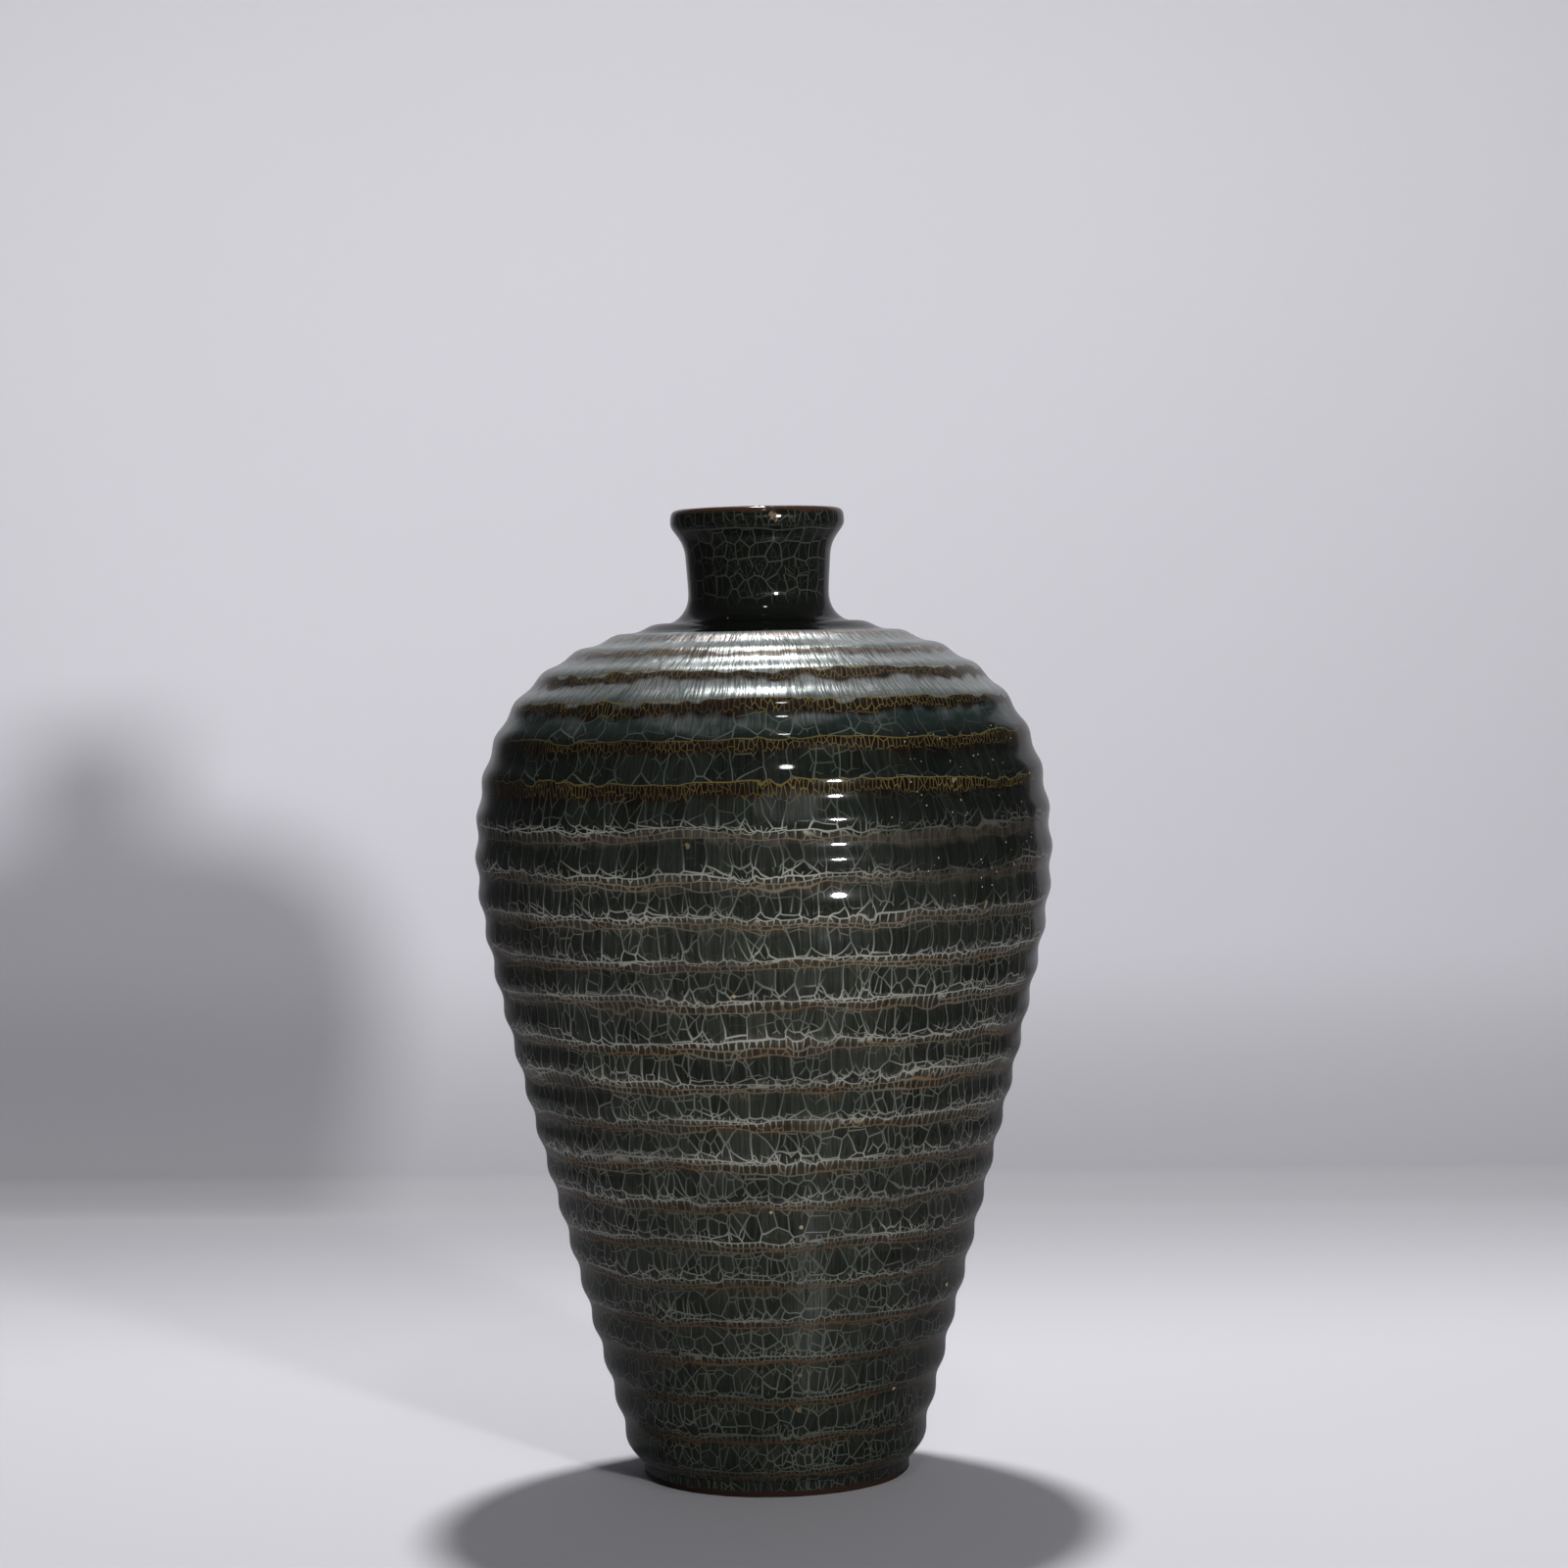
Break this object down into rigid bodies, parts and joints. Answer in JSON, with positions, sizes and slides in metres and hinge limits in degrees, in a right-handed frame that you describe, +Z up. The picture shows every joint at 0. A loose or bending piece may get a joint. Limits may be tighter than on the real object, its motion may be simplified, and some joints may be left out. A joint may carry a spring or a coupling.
{
  "type": "plum vase",
  "caption": "High-shouldered thrown vase with finger ridges all over its wall, a short neck, a small rolled mouth and a turned foot ring, glazed dark and crackled.",
  "frame": {"origin": "centre of the foot, on the plane that the vase stands on", "axes": "+Z up the axis of the vase, towards its mouth; every direction square to it is alike"},
  "size_m": [0.1798, 0.1798, 0.3],
  "materials": {
    "glaze": "glossy, near-black grey-green crackle glaze, brown where it runs thin below each ridge, on the lip and at the foot"
  },
  "bodies": {
    "root": {"vase": "glaze"}
  },
  "joints": []
}
